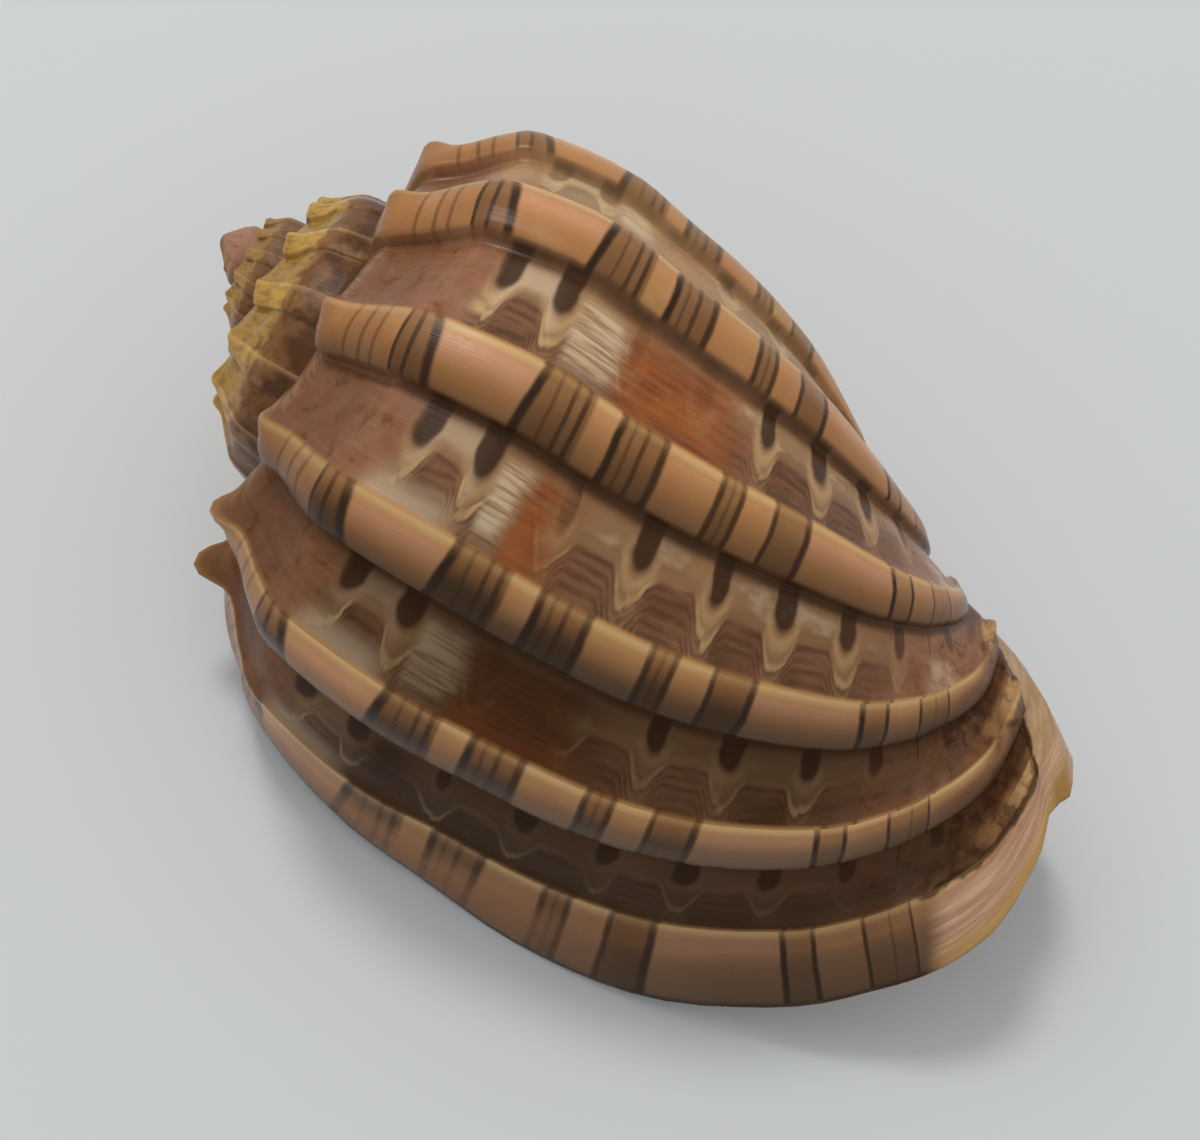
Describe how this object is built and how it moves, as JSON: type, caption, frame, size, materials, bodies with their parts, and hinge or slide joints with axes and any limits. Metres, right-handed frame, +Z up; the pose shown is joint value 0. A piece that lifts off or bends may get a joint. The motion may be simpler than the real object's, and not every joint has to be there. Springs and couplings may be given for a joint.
{
  "type": "harp shell",
  "caption": "Ribbed spiral shell of a harp snail lying on its aperture, with a flared outer lip, a low spined spire and a siphonal notch.",
  "frame": {"origin": "bottom centre of the bounding box of the shell as it lies on its aperture", "axes": "+Z up, +X from the spire to the siphonal notch, the outer lip on the -Y side"},
  "size_m": [0.0692, 0.045, 0.0356],
  "materials": {
    "shell_enamel": "natural glossy shell, peach ribs with dark brown line groups, mauve and brown grooves"
  },
  "bodies": {
    "root": {"harp_shell": "shell_enamel"}
  },
  "joints": []
}
